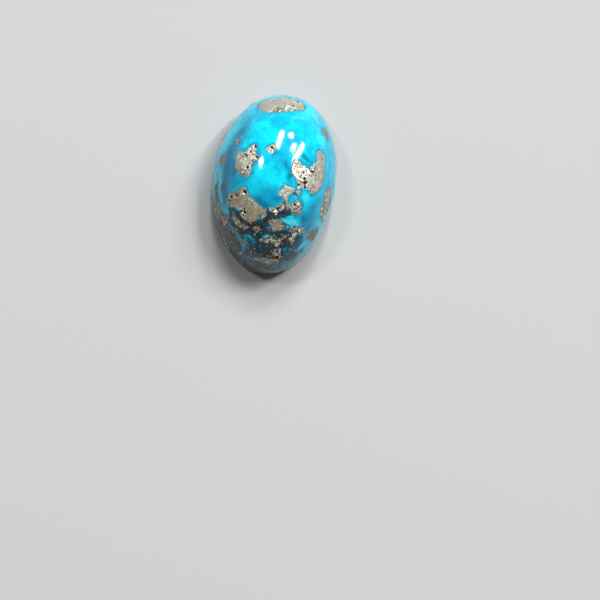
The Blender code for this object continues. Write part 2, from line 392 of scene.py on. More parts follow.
class FinishSettings(bpy.types.PropertyGroup):
    """Colours of the stone and of its pyrite."""
    cyan: colour_setting("Cyan", "Turquoise at its clearest", (0.003, 0.62, 0.77))
    blue: colour_setting("Blue", "Turquoise at its bluest", (0.003, 0.35, 0.55))
    # Deep is darker turquoise, and also painted shade beside the pyrite, down the left side and round
    # the lower end
    deep: colour_setting("Deep", "Dark blue beside the pyrite", (0.002, 0.14, 0.26))
    pale: colour_setting("Pale", "Chalky green-blue clouds", (0.07, 0.55, 0.60))
    rock: colour_setting("Host Rock", "Dark host rock", (0.012, 0.017, 0.021))
    navy: colour_setting(
        "Navy", "Dark blue where turquoise thins into the rock", (0.004, 0.050, 0.082))
    clay: colour_setting("Clay", "Paler brown-grey host rock", (0.036, 0.041, 0.038))
    rust: colour_setting("Rust", "Iron stain", (0.21, 0.125, 0.08))
    pyrite: colour_setting("Pyrite", "Polished pyrite", (0.50, 0.48, 0.375))
    # A painted highlight, near white, on the brightest pyrite grains
    painted_highlight: colour_setting("Glint", "The brightest pyrite grains", (0.85, 0.82, 0.72))
    tarnish: colour_setting("Tarnish", "Duller, greyer pyrite", (0.33, 0.32, 0.26))
    dull: colour_setting("Dull", "Small pyrite grains in the host rock", (0.12, 0.112, 0.085))
    khaki: colour_setting("Khaki", "Dull pyrite polished flat", (0.35, 0.307, 0.18))
    # Silver's cool grey is partly a painted reflection of the sky on flat pyrite
    silver: colour_setting("Silver", "Bright pyrite polished flat", (0.335, 0.34, 0.315))
    # Pit is dirt and painted shade: it darkens the pits, the rims of the patches, and black grains and
    # specks
    pit: colour_setting("Pit", "Dirt in the pits and round the grains", (0.020, 0.018, 0.013))
    polish: FloatProperty(
        name="Polish", description="Roughness of the polished dome", default=0.09, subtype="FACTOR")


class StageSettings(bpy.types.PropertyGroup):
    """Floor, light and camera."""
    floor: colour_setting("Floor", "Colour of the floor", (0.41, 0.41, 0.41))
    floor_size: length_setting("Floor Size", "Side of the floor", 3.0)
    light: colour_setting("Light", "Colour of the soft light", (0.92, 0.96, 1.0))
    sky: FloatProperty(name="Sky", description="Strength of the soft light from above", default=0.12)
    horizon: FloatProperty(
        name="Horizon", description="Strength of the soft light from the sides", default=0.32)
    lamp: FloatProperty(name="Lamp", description="Brightness of the lamps themselves", default=43.0)
    lamp_distance: length_setting("Lamp Distance", "From the stone to the lamps", 1.2)
    distance: length_setting("Camera Distance", "From the stone to the camera", 0.2)
    lens: FloatProperty(
        name="Lens", description="Focal length on a 36 mm sensor", default=105.7, unit="CAMERA")
    tilt: FloatProperty(
        name="Camera Tilt", description="Angle between the camera and straight down",
        default=math.radians(10), subtype="ANGLE")
    bearing: FloatProperty(
        name="Camera Bearing", description="Where the camera stands, from +X",
        default=math.radians(-120), subtype="ANGLE")
    roll: FloatProperty(
        name="Long Axis", description="How far the long axis leans clockwise in the picture",
        default=math.radians(8.7), subtype="ANGLE")


def smooth_step(value):
    """0 below 0, 1 above 1 and a soft S between."""
    value = np.clip(value, 0.0, 1.0)
    return value * value * (3.0 - 2.0 * value)


def unit(vectors):
    """Vectors brought to length one."""
    return vectors / np.linalg.norm(vectors, axis=-1, keepdims=True)


def noise(points, size, seed):
    """Smooth noise from -1 to 1: random numbers at the corners of cubes of a size, blended between."""
    table = np.random.default_rng(seed).uniform(-1.0, 1.0, (NOISE_TABLE, NOISE_TABLE, NOISE_TABLE))
    place = points / size + NOISE_START
    low = np.floor(place).astype(int)
    part = smooth_step(place - low)
    total = np.zeros(len(points))
    for corner in itertools.product((0, 1), repeat=3):
        share = np.prod(np.where(corner, part, 1.0 - part), axis=1)
        x, y, z = ((low + corner) % NOISE_TABLE).T
        total += share * table[x, y, z]
    return total


def grains(places, size, seed):
    """Cut a plane into grains, each point going to the nearest of one random middle per square.

    Returns each point's offset from its grain's middle and four random numbers of that grain.
    """
    random = np.random.default_rng(seed).uniform(0.0, 1.0, (GRAIN_TABLE, GRAIN_TABLE, 6))
    place = places / size
    home = np.floor(place).astype(int)
    nearest = np.full(len(places), np.inf)
    offset = np.zeros((len(places), 2))
    values = np.zeros((len(places), 4))
    for step in itertools.product((-1, 0, 1), repeat=2):
        cell = home + step
        row, column = (cell % GRAIN_TABLE).T
        found = random[row, column]
        away = place - (cell + found[:, :2])
        gap = (away ** 2).sum(axis=1)
        closer = gap < nearest
        nearest = np.where(closer, gap, nearest)
        offset[closer] = away[closer]
        values[closer] = found[closer, 2:]
    return offset * size, values


def disc_grid(cells):
    """A square grid wrapped to a disc, its squares becoming circles.

    Returns each point's ring, from 0 to 1, its angle, and its two places on the square.
    """
    step = np.linspace(-1.0, 1.0, 2 * cells + 1)
    a, b = (side.ravel() for side in np.meshgrid(step, step, indexing="ij"))
    ring = np.maximum(abs(a), abs(b))
    on_sides = abs(a) >= abs(b)
    across = np.where(on_sides, np.where(a == 0.0, 1.0, a), np.where(b == 0.0, 1.0, b))
    lean = math.pi / 4 * np.where(on_sides, b, a) / across
    start = np.where(a >= 0.0, 0.0, math.pi)
    top = np.where(b >= 0.0, math.pi / 2, 3 * math.pi / 2)
    return ring, np.where(on_sides, start + lean, top - lean), a, b


def grid_quads(rows, columns):
    """Corner numbers of a grid's quads, turning from the first axis to the second."""
    number = np.arange(rows * columns).reshape(rows, columns)
    corners = (number[:-1, :-1], number[1:, :-1], number[1:, 1:], number[:-1, 1:])
    return np.stack([corner.ravel() for corner in corners], axis=1)


def border_loop(rows, columns):
    """Corner numbers round a grid's edge, turning from the first axis to the second."""
    number = np.arange(rows * columns).reshape(rows, columns)
    return np.concatenate((number[:-1, 0], number[-1, :-1], number[:0:-1, -1], number[0, :0:-1]))


class Dome:
    """The ideal shape of the stone: one power of spread plus another power of rise makes 1.

    Spread is how far out a point lies towards the oval outline, and rise is how far up it
    lies from the top of the wall to the apex, both from 0 to 1. The outline is an ellipse
    times one plus a small threefold wave. Below the wall's top the side is upright.
    """

    # Steps round the outline when its box is measured, and the widest spread that lift takes
    OUTLINE_STEPS = 1440
    WIDEST = 0.995

    # How often drop slides its points, how far at most, and the flattest slope that it takes
    SLIDES = 12
    LONGEST_SLIDE = 0.6
    LEAST_SLOPE = 0.02

    def __init__(self, settings):
        self.plan = settings.plan_fullness
        self.rise = settings.rise_fullness
        self.egg = settings.egg
        self.turn = settings.egg_turn
        self.wall = settings.wall_top / MM
        self.grind = settings.edge_grind / MM
        self.uneven = settings.uneven / MM
        self.height = STONE_HIGH.z / MM
        around = np.linspace(0.0, 2.0 * math.pi, self.OUTLINE_STEPS + 1)
        x = self.reach(around) * np.cos(around)
        y = self.reach(around) * np.sin(around)
        self.half_x = (STONE_HIGH.x - STONE_LOW.x) / MM / np.ptp(x)
        self.half_y = (STONE_HIGH.y - STONE_LOW.y) / MM / np.ptp(y)
        self.middle_x = self.half_x * (x.max() + x.min()) / 2
        self.middle_y = self.half_y * (y.max() + y.min()) / 2

    def reach(self, angle):
        """The outline's threefold wave: one plus a cosine of three times the angle."""
        return 1.0 + self.egg * np.cos(3.0 * (angle - self.turn))

    def outline(self, angle, spread=1.0):
        """The outline in plan, drawn in towards the middle by spread."""
        reach = self.reach(angle) * spread
        x = self.half_x * reach * np.cos(angle) - self.middle_x
        y = self.half_y * reach * np.sin(angle) - self.middle_y
        return x, y

    def points(self, ring, angle):
        """Dome points for ring 0 at the apex to 1 at the girdle."""
        quarter = ring * math.pi / 2
        x, y = self.outline(angle, np.sin(quarter) ** (2.0 / self.plan))
        rise = np.clip(np.cos(quarter), 0.0, 1.0) ** (2.0 / self.rise)
        return np.stack([x, y, self.wall + (self.height - self.wall) * rise], axis=1)

    def spread_of(self, points):
        """Spread, and the parts of its slope in x and y."""
        x = (points[:, 0] + self.middle_x) / self.half_x
        y = (points[:, 1] + self.middle_y) / self.half_y
        reach = self.reach(np.arctan2(y, x))
        spread = np.maximum(np.hypot(x, y) / reach, 1e-6)
        return spread, x / (self.half_x * reach ** 2), y / (self.half_y * reach ** 2)

    def level(self, points):
        """How far outside the ideal shape points are, 0 on it, and the slope of that."""
        tall = self.height - self.wall
        spread, slope_x, slope_y = self.spread_of(points)
        rise = np.maximum((points[:, 2] - self.wall) / tall, 0.0)
        out = self.plan * spread ** (self.plan - 2.0)
        up = self.rise * rise ** (self.rise - 1.0) / tall
        outside = spread ** self.plan + rise ** self.rise - 1.0
        return outside, np.stack([out * slope_x, out * slope_y, up], axis=1)

    def normals(self, points):
        """Directions straight out of the ideal shape."""
        return unit(self.level(points)[1])

    def lift(self, plan):
        """Points of the dome over places in plan."""
        plan = np.atleast_2d(np.asarray(plan, float))
        flat = np.column_stack([plan, np.full(len(plan), self.wall)])
        spread = np.minimum(self.spread_of(flat)[0], self.WIDEST)
        rise = (1.0 - spread ** self.plan) ** (1.0 / self.rise)
        flat[:, 2] = self.wall + (self.height - self.wall) * rise
        return flat

    def drop(self, points, direction):
        """Slide points along a direction until they lie on the ideal shape."""
        points = points.copy()
        for _ in range(self.SLIDES):
            level, slope = self.level(points)
            step = level / np.maximum(slope @ direction, self.LEAST_SLOPE)
            points -= np.clip(step, -self.LONGEST_SLIDE, self.LONGEST_SLIDE)[:, None] * direction
        return points

    def waves(self, points):
        """The unevenness left by hand polishing, a sum of cosines that fades out at the wall."""
        total = sum(
            np.cos(points[:, 0] * p + points[:, 1] * q + shift) for p, q, shift in UNEVEN_WAVES)
        fade = smooth_step((points[:, 2] - self.wall) / WAVE_FADE)
        return self.uneven * total / len(UNEVEN_WAVES) * fade


def round_outline(corners, steps=4):
    """A closed smooth curve through a few corners, each stretch a cubic blend of four of them."""
    corners = np.asarray(corners, float)
    before, after, beyond = (np.roll(corners, shift, axis=0) for shift in (1, -1, -2))
    curve = []
    for part in np.arange(steps) / steps:
        curve.append(
            corners + part * (after - before) / 2
            + part ** 2 * (2 * before - 5 * corners + 4 * after - beyond) / 2
            + part ** 3 * (3 * corners - before - 3 * after + beyond) / 2)
    return np.stack(curve, axis=1).reshape(-1, 2)


def depth_inside(places, outline):
    """How far inside a closed outline places are, negative outside.

    That is the distance to the nearest edge. A place is inside when a line from it towards +X
    crosses an odd number of edges.
    """
    nearest = np.full(len(places), np.inf)
    inside = np.zeros(len(places), bool)
    for start, end in zip(outline, np.roll(outline, -1, axis=0)):
        edge = end - start
        away = places - start
        share = np.clip(away @ edge / (edge @ edge), 0.0, 1.0)
        nearest = np.minimum(nearest, np.linalg.norm(away - share[:, None] * edge, axis=1))
        crosses = (start[1] > places[:, 1]) != (end[1] > places[:, 1])
        rise = np.where(end[1] == start[1], 1.0, end[1] - start[1])
        inside ^= crosses & (places[:, 0] < start[0] + (places[:, 1] - start[1]) * edge[0] / rise)
    return np.where(inside, nearest, -nearest)


class Patch:
    """A pyrite patch, drawn on the plane that touches the dome at the patch's middle.

    Its outline is given as places on that plane, once the plane is known.
    """

    def __init__(self, dome, middle, sparkle, tone, seed):
        self.middle = dome.drop(middle[None], dome.normals(middle[None])[0])[0]
        self.normal = dome.normals(self.middle[None])[0]
        self.across = unit(np.cross((0.0, 0.0, 1.0), self.normal) + (1e-9, 0.0, 0.0))
        self.along = np.cross(self.normal, self.across)
        self.outline = None
        self.sparkle = sparkle
        self.tone = tone
        self.seed = seed

    def places(self, points):
        """Points of space as places on the patch's plane."""
        away = points - self.middle
        return np.stack([away @ self.across, away @ self.along], axis=1)

    def depth(self, points, wander):
        """How far inside the patch points of the dome are, its edge wandering a little."""
        depth = depth_inside(self.places(points), self.outline)
        stray = sum(share * noise(points, size, seed) for share, size, seed in EDGE_FRAY)
        return depth + wander * (0.9 + 0.6 * self.sparkle) * stray


def drawn_patches(dome):
    """The patches of PATCHES, lifted from plan to the dome."""
    patches = []
    for seed, (sparkle, tone, corners) in enumerate(PATCHES.values()):
        lifted = dome.lift(round_outline(corners))
        patch = Patch(dome, lifted.mean(axis=0), sparkle, tone, seed)
        patch.outline = patch.places(lifted)
        patches.append(patch)
    return patches


def hidden_patches(dome, settings):
    """Seeded patches low round the sides: ovals with a twofold and a threefold wave.

    They reach higher on the free side, where the drawn ones end sooner.
    """
    random = np.random.default_rng(settings.seed)
    patches = []
    around = np.linspace(0.0, 2.0 * math.pi, HIDDEN_POINTS, endpoint=False)
    for number in range(settings.hidden):
        angle = random.uniform(0.0, 2.0 * math.pi)
        size = HIDDEN_RADIUS + HIDDEN_MORE * random.uniform() ** 1.5
        top = HIDDEN_TOP + HIDDEN_RISE * math.cos(angle - FREE_SIDE)
        height = random.uniform(0.95 + 1.2 * size, top)
        x, y = dome.outline(angle)
        out = unit(np.array([x, y, 0.0]))
        middle = dome.drop(np.array([[x, y, height]]) + 0.01 * out, out)[0]
        sparkle, tone = random.uniform(*HIDDEN_SPARKLE), random.uniform(*HIDDEN_TONE)
        patch = Patch(dome, middle, sparkle, tone, HIDDEN_SEED + number)
        twofold = 0.25 * np.cos(2 * around + random.uniform(0, 6))
        radius = size * (1.0 + twofold + 0.15 * np.cos(3 * around))
        long = random.uniform(*HIDDEN_LENGTH)
        patch.outline = np.stack([radius * long * np.cos(around), radius * np.sin(around)], axis=1)
        patches.append(patch)
    return patches


def edge_depth(patches, points, wander):
    """How far inside the nearest patch points are, negative outside, and no less than OUTSIDE."""
    depth = np.full(len(points), OUTSIDE)
    for patch in patches:
        size = np.linalg.norm(patch.outline, axis=1).max() + PATCH_REACH
        near = np.linalg.norm(points - patch.middle, axis=1) < size
        depth[near] = np.maximum(depth[near], patch.depth(points[near], wander))
    return depth


def spots_cover(dome, spots, points, soft, fray):
    """1 inside any of a list of round spots on the dome, 0 outside, with a soft and frayed edge."""
    cover = np.zeros(len(points))
    stray = fray * noise(points, 3.0 * fray, 8)
    for x, y, radius in spots:
        gap = np.linalg.norm(points - dome.lift((x, y))[0], axis=1) + stray
        cover = np.maximum(cover, smooth_step((radius - gap) / soft + 0.5))
    return cover


def zone_field(dome, zones, points):
    """Soft oval clouds on the dome, each fading as exp(-r squared), joined as 1 less the rest."""
    bend = np.stack([noise(points, 0.9, seed) for seed in (21, 22, 23)], axis=1)
    warped = points + ZONE_BEND * bend
    clear = np.ones(len(points))
    for x, y, half_long, half_wide, turn, strength in zones:
        middle = dome.lift((x, y))
        normal = dome.normals(middle)[0]
        along = np.array([math.cos(math.radians(turn)), math.sin(math.radians(turn)), 0.0])
        along = unit(along - normal * (along @ normal))
        away = warped - middle[0]
        far = (away @ along / half_long) ** 2 + (away @ np.cross(normal, along) / half_wide) ** 2
        clear *= 1.0 - strength * np.exp(-far - (away @ normal / ZONE_DEPTH) ** 2)
    return 1.0 - clear


def make_mesh(name, points, quads, others, uv):
    """A closed mesh object from millimetres, quads, other faces and a UV place for each corner."""
    faces = [tuple(face) for face in quads.tolist()] + [tuple(face) for face in others]
    mesh = bpy.data.meshes.new(name)
    mesh.from_pydata((points * MM).tolist(), [], faces)
    layer = mesh.uv_layers.new(name="OFBake")
    layer.uv.foreach_set("vector", np.asarray(uv, np.float32).ravel())
    mesh.shade_smooth()
    thing = bpy.data.objects.new(name, mesh)
    bpy.context.scene.collection.objects.link(thing)
    return thing


def add_values(thing, name, values):
    """A number for each vertex, which a material reads by name."""
    layer = thing.data.attributes.new(name, "FLOAT", "POINT")
    layer.data.foreach_set("value", np.asarray(values, np.float32))


def recess(depth):
    """How far the stone is cut down for an inlay, from its depth inside the patch."""
    return RECESS_DEPTH * smooth_step((depth - RECESS_START) / RECESS_SLOPE)


def map_places(part, across, along):
    """Places on a part of the map, from -1 to 1 across and along it."""
    (u, half_u), (v, half_v) = part
    return np.stack([u + half_u * across, v + half_v * along], axis=1)


def side_rings(grind):
    """How far in and how high each ring of the side lies: wall, ground edge and rim of the back."""
    wall = [(0.0, height) for height in WALL_RINGS]
    upper = [(inwards, grind + up) for inwards, up in EDGE_STEPS]
    lower = [(grind + up, inwards) for inwards, up in reversed(EDGE_STEPS)]
    return wall + upper + lower + [(grind + BACK_RING, 0.0)]


def side_ring(dome, patches, angle, inset, height, wander):
    """One ring of the side: the outline drawn in by the inset, at a height, cut in for inlays."""
    x, y = dome.outline(angle)
    level = np.full(len(angle), height)
    points = np.stack([x * (1.0 - inset / dome.half_x), y * (1.0 - inset / dome.half_y), level], axis=1)
    depth = np.full(len(angle), OUTSIDE)
    if height > LOWEST_PATCH:
        depth = edge_depth(patches, points, wander)
    outward = np.stack([x / dome.half_x ** 2, y / dome.half_y ** 2, np.zeros(len(angle))], axis=1)
    return points - unit(outward) * recess(depth)[:, None], depth


def ring_map(count, level, levels):
    """Map places of the quads above a ring, a quarter of the way round on each of four strips."""
    quarter = count // 4
    number = np.arange(count)
    u = STRIP_LEFT + STRIP_STEP * (number // quarter)
    v = STRIP_LOW + STRIP_HEIGHT * (number % quarter) / quarter
    v_next = v + STRIP_HEIGHT / quarter
    top, low = STRIP_WIDTH * level / levels, STRIP_WIDTH * (level + 1) / levels
    corners = ((u + top, v), (u + low, v), (u + low, v_next), (u + top, v_next))
    return np.stack([np.stack(corner, axis=1) for corner in corners], axis=1).reshape(-1, 2)


def stone_surface(dome, patches, cells, wander):
    """Points, quads and back face of the stone, its corners' map places and its depth in pyrite.

    A wrapped grid makes the dome, and its border runs on down as rings. Under a pyrite patch
    the stone is cut down to take the inlay.
    """
    ring, angle, a, b = disc_grid(cells)
    points = dome.points(ring, angle)
    depth = edge_depth(patches, points, wander)
    raised = dome.waves(points) - recess(depth)
    parts, depths = [points + dome.normals(points) * raised[:, None]], [depth]
    side = 2 * cells + 1
    quads = [grid_quads(side, side)]
    maps = [map_places(DOME_MAP, a, b)[quads[0]].reshape(-1, 2)]

    loop = above = border_loop(side, side)
    count = len(loop)
    rings = side_rings(dome.grind)
    for level, (inset, height) in enumerate(rings):
        lower, depth = side_ring(dome, patches, angle[loop], inset, height, wander)
        parts.append(lower)
        depths.append(depth)
        below = len(points) + level * count + np.arange(count)
        quads.append(np.stack([above, below, np.roll(below, -1), np.roll(above, -1)], axis=1))
        maps.append(ring_map(count, level, len(rings)))
        above = below
    back = tuple(int(corner) for corner in above[::-1])
    points = np.concatenate(parts)
    rim = points[list(back)]
    maps.append(map_places(BACK_MAP, rim[:, 0] / dome.half_x, rim[:, 1] / dome.half_y))
    return points, np.concatenate(quads), back, np.concatenate(maps), np.concatenate(depths)


def girdle_rock_and_shade(points):
    """Host rock and painted shade on the wall: a low band with an uneven top, strongest at the foot."""
    climb = 2.2 * noise(points, 2.4, 33) - points[:, 1] + FOOT_START
    foot = smooth_step(climb / FOOT_LENGTH)
    top = ROCK_HEIGHT + foot + 1.1 * noise(points, 1.8, 34)
    low = smooth_step((top - points[:, 2]) / ROCK_FADE)
    return low * (0.15 + 0.3 * noise(points, 2.4, 31) + 0.75 * foot)


def make_stone(settings, pyrite):
    """The stone, with its zones of colour and its depth in pyrite as vertex values."""
    dome = Dome(settings)
    patches = drawn_patches(dome) + hidden_patches(dome, pyrite)
    points, quads, back, uv, depth = stone_surface(dome, patches, settings.cells, pyrite.wander / MM)
    stone = make_mesh("turquoise_stone", points, quads, [back], uv)
    places = np.maximum(points, (-np.inf, -np.inf, 0.0))
    fields = {name: zone_field(dome, zones, places) for name, zones in ZONES.items()}
    # The low band on the wall is host rock, and at the foot painted shade
    rock = np.maximum(fields["rock"], girdle_rock_and_shade(points))
    fields["rock"] = rock * (1.0 - 0.85 * fields["pale"])
    for name, field in fields.items():
        add_values(stone, name, field)
    add_values(stone, "pyrite_depth", depth)
    back_face = stone.data.polygons[len(quads)]
    back_face.material_index = 1
    back_face.use_smooth = False
    return stone


def keep_whole(kept):
    """Fill cells until no two kept ones touch by a corner alone."""
    kept = kept.copy()
    sides = (slice(None, -1), slice(1, None))
    while True:
        a, b, c, d = kept[:-1, :-1], kept[1:, 1:], kept[1:, :-1], kept[:-1, 1:]
        bad = (a & b & ~c & ~d) | (c & d & ~a & ~b)
        if not bad.any():
            return kept
        for rows, columns in itertools.product(sides, repeat=2):
            kept[rows, columns] |= bad


def patch_grid(patch, spacing):
    """Rows, columns and places of a square grid over a patch, with a margin round it."""
    low = patch.outline.min(axis=0) - SLAB_MARGIN
    high = patch.outline.max(axis=0) + SLAB_MARGIN
    rows, columns = np.ceil((high - low) / spacing).astype(int) + 1
    across = low[0] + spacing * np.arange(rows)
    along = low[1] + spacing * np.arange(columns)
    u, v = np.meshgrid(across, along, indexing="ij")
    return rows, columns, np.stack([u.ravel(), v.ravel()], axis=1)


def grain_faces(dome, patch, points, places, grain):
    """The patch's surface grain by grain: height, hole, pit, roughness and tone.

    Each grain's top is a plane, its height the grain's lean times the offset from its middle
    plus a step of its own, both less where the patch was polished flat.
    """
    flat = spots_cover(dome, FLATS, points, soft=1.1, fray=0.45)
    cluster = spots_cover(dome, CLUSTERS, points, soft=0.5, fray=0.3)
    pit = spots_cover(dome, PITS, points, soft=0.07, fray=0.06)
    rough = np.maximum(patch.sparkle * (1.0 - flat), 0.9 * cluster)
    shake = np.stack([noise(points, 0.18, 6), noise(points, 0.18, 9)], axis=1)
    offset, value = grains(places + GRAIN_SHAKE * shake, grain, patch.seed)
    lean = (value[:, :2] - 0.5) * GRAIN_LEAN * rough[:, None]
    facet = (offset * lean).sum(axis=1) + (value[:, 2] - 0.7) * GRAIN_STEP * rough
    away = np.linalg.norm(offset, axis=1) / (0.4 * grain)
    fallen = (value[:, 3] > 1.0 - FALLEN_SHARE) * smooth_step(1.3 - away)
    hole = np.maximum(pit, fallen * rough)
    height = facet + 0.003 * noise(points, 0.12, 7) - HOLE_DEPTH * hole
    return height, hole, pit, rough, patch.tone * (1.0 + 0.7 * (value[:, 2] - 0.5) * rough)


def inlay(dome, patch, settings):
    """One patch of pyrite as a closed slab: its top, its underside, quads, places and values.

    The top is the dome moved out by the height of the grains, and it dives under the stone at
    its edge. The underside is the dome set in by the slab's depth.
    """
    rows, columns, places = patch_grid(patch, settings.spacing / MM)
    start = patch.middle + places[:, :1] * patch.across + places[:, 1:] * patch.along
    points = dome.drop(start, patch.normal)
    normals = dome.normals(points)
    depth = patch.depth(points, settings.wander / MM)
    faces, hole, pit, rough, tone = grain_faces(dome, patch, points, places, settings.grain / MM)
    rise = settings.rise / MM * (1.0 - np.exp(-depth.clip(0.0) / RISE_LENGTH))
    height = np.where(depth > 0.0, rise, DIVE * depth)
    height += smooth_step((depth - GRAIN_START) / GRAIN_FADE) * faces
    height = np.clip(height, *TOP_LIMITS) - PIT_DEPTH * pit
    top = points + normals * (height + dome.waves(points))[:, None]

    shaped = (depth > -SLAB_EDGE).reshape(rows, columns)
    kept = keep_whole(shaped[:-1, :-1] | shaped[1:, :-1] | shaped[1:, 1:] | shaped[:-1, 1:])
    quads = grid_quads(rows, columns)[kept.ravel()]
    used, quads = np.unique(quads, return_inverse=True)
    under = points - SLAB_DEPTH * normals
    values = np.stack([tone, hole, rough, depth], axis=1)
    return top[used], under[used], quads.reshape(-1, 4), places[used] - places[0], values[used]


def close_slab(quads, count):
    """The quads of a slab's underside and sides, its lower points numbered on from count."""
    edges = np.concatenate([quads[:, [side, (side + 1) % 4]] for side in range(4)])
    forward = edges[:, 0] * count + edges[:, 1]
    rim = edges[~np.isin(forward, edges[:, 1] * count + edges[:, 0])]
    sides = np.stack([rim[:, 1], rim[:, 0], rim[:, 0] + count, rim[:, 1] + count], axis=1)
    return quads[:, ::-1] + count, sides


def shelf_places(sizes, width):
    """Pack rectangles on shelves of a width, tallest first: each one's corner, and the height used."""
    corners = np.zeros((len(sizes), 2))
    x = y = shelf = 0.0
    for number in sorted(range(len(sizes)), key=lambda item: -sizes[item][1]):
        if x + sizes[number][0] > width:
            x, y, shelf = 0.0, y + shelf, 0.0
        corners[number] = x, y
        x += sizes[number][0]
        shelf = max(shelf, sizes[number][1])
    return corners, y + shelf


def make_pyrite(settings, shape):
    """All the pyrite as one object of closed slabs, each in its own place on the map."""
    dome = Dome(shape)
    patches = drawn_patches(dome) + hidden_patches(dome, settings)
    made = [inlay(dome, patch, settings) for patch in patches]
    sizes = [places.max(axis=0) + MAP_ROOM for _, _, _, places, _ in made]
    side = MAP_SLACK * math.sqrt(sum(size[0] * size[1] for size in sizes))
    corners, height = shelf_places(sizes, side)
    side = max(side, height)
    points, faces, uv, values = [], [], [], []
    start = 0
    for (top, under, quads, places, given), corner in zip(made, corners):
        count = len(top)
        underside, sides = close_slab(quads, count)
        places = (places + corner + MAP_INSET) / side
        points += [top, under]
        faces += [quads + start, underside + start, sides + start]
        unseen = np.repeat(places[quads[0, 0]][None], 4 * (len(underside) + len(sides)), axis=0)
        uv += [places[quads].reshape(-1, 2), unseen]
        values += [given, given]
        start += 2 * count
    points, faces, uv, values = (np.concatenate(rows) for rows in (points, faces, uv, values))
    pyrite = make_mesh("pyrite_inlays", points, faces, [], uv)
    for name, column in zip(PYRITE_VALUES, values.T):
        add_values(pyrite, name, column)
    return pyrite


class Nodes:
    """Adds nodes to one tree. Any input may be a value or the output of another node."""

    def __init__(self, tree):
        self.tree = tree

    def fill(self, node, inputs):
        """Give a node's inputs their values or their links."""
        for name, value in inputs.items():
            if isinstance(value, bpy.types.NodeSocket):
                self.tree.links.new(value, node.inputs[name])
            else:
                node.inputs[name].default_value = value

    def add(self, kind, inputs=None, **settings):
        """A node of a kind, with its settings and its inputs."""
        node = self.tree.nodes.new(kind)
        for name, value in settings.items():
            setattr(node, name, value)
        self.fill(node, inputs or {})
        return node

    def group(self, name, inputs):
        """The outputs of a node group placed in the tree."""
        return self.add("ShaderNodeGroup", inputs, node_tree=bpy.data.node_groups[name]).outputs

    def maths(self, operation, *values, clamp=False):
        """The result of a sum on numbers."""
        inputs = dict(enumerate(values))
        return self.add("ShaderNodeMath", inputs, operation=operation, use_clamp=clamp).outputs[0]

    def plus(self, first, second, clamp=False):
        """One number added to another."""
        return self.maths("ADD", first, second, clamp=clamp)

    def minus(self, first, second, clamp=False):
        """The second number taken from the first."""
        return self.maths("SUBTRACT", first, second, clamp=clamp)

    def times(self, first, second):
        """One number times another."""
        return self.maths("MULTIPLY", first, second)

    def times_plus(self, first, second, third):
        """The first number times the second, and the third added."""
        return self.maths("MULTIPLY_ADD", first, second, third)

    def most(self, *values):
        """The largest of a few numbers."""
        largest = values[0]
        for value in values[1:]:
            largest = self.maths("MAXIMUM", largest, value)
        return largest

    def vector(self, operation, *values):
        """The outputs of a sum on vectors."""
        inputs = dict(enumerate(values))
        return self.add("ShaderNodeVectorMath", inputs, operation=operation).outputs

    def soft_step(self, value, low, high, start=0.0, end=1.0):
        """A smooth rise from start to end as a value goes from low to high."""
        inputs = {"Value": value, "From Min": low, "From Max": high, "To Min": start, "To Max": end}
        return self.add("ShaderNodeMapRange", inputs, interpolation_type="SMOOTHSTEP").outputs[0]

    def blend(self, share, first, second, mode="MIX"):
        """Two colours blended. They are inputs 6 and 7 of the node, and its colour is output 2."""
        inputs = {0: share, 6: first, 7: second}
        return self.add("ShaderNodeMix", inputs, data_type="RGBA", blend_type=mode).outputs[2]

    def tint(self, colour, tone):
        """A colour times a tone or another colour."""
        return self.blend(1.0, colour, tone, "MULTIPLY")

    def noise(self, where, scale, detail=3.0, roughness=0.55, distortion=0.0):
        """Noise from 0 to 1, its scale in lumps per millimetre."""
        inputs = {
            "Vector": where, "Scale": scale / MM, "Detail": detail, "Roughness": roughness,
            "Distortion": distortion}
        return self.add("ShaderNodeTexNoise", inputs).outputs[0]

    def cells(self, where, scale, shake, reach):
        """Random cells with their edges shaken by noise, as far as a reach in millimetres.

        Returns the shaken place, the cells' outputs and three random numbers of each cell.
        """
        place = self.vector("MULTIPLY_ADD", shake, (reach * MM, reach * MM, reach * MM), where)[0]
        cells = self.add("ShaderNodeTexVoronoi", {"Vector": place, "Scale": scale / MM}).outputs
        return place, cells, self.add("ShaderNodeSeparateColor", {0: cells["Color"]}).outputs

    def value(self, name):
        """A vertex value of the piece."""
        return self.add("ShaderNodeAttribute", attribute_name=name).outputs["Fac"]

    def place(self):
        """Places on the piece, in its own axes."""
        return self.add("ShaderNodeTexCoord").outputs["Object"]


def new_group(name, inputs, outputs):
    """An empty node group: its nodes, the outputs of its input node, and its output node."""
    group = bpy.data.node_groups.new(name, "ShaderNodeTree")
    for way, sockets in (("INPUT", inputs), ("OUTPUT", outputs)):
        for socket in sockets:
            kind = "NodeSocketColor" if socket == "Color" else "NodeSocketFloat"
            group.interface.new_socket(socket, in_out=way, socket_type=kind)
    given = group.nodes.new("NodeGroupInput")
    return Nodes(group), given.outputs, group.nodes.new("NodeGroupOutput")


def rock_glints(nodes, where, crumb, gritty, away):
    """Small grains of pyrite in the stone: their mask, and each one's painted highlight from 0 to 1.

    A cell holds a grain where its chance passes 1 with the rock's grit or the nearness of a
    patch added, whichever is more.
    """
    _, cells, chance = nodes.cells(where, 5.6, shake=crumb, reach=0.2)
    near = nodes.soft_step(away, 0.05, 0.5, start=0.16, end=0.0)
    chosen = nodes.soft_step(nodes.plus(chance[0], nodes.most(near, gritty)), 0.99, 1.01)
    radius = nodes.times_plus(chance[1], 0.35, 0.16)
    ragged = nodes.times_plus(crumb, 1.1, cells["Distance"])
    dot = nodes.soft_step(nodes.minus(ragged, radius), 0.45, 0.6, start=1.0, end=0.0)
    # The second result blends a grain from dull pyrite to a near-white painted highlight
    return nodes.times(chosen, dot), nodes.soft_step(chance[2], 0.55, 1.0)


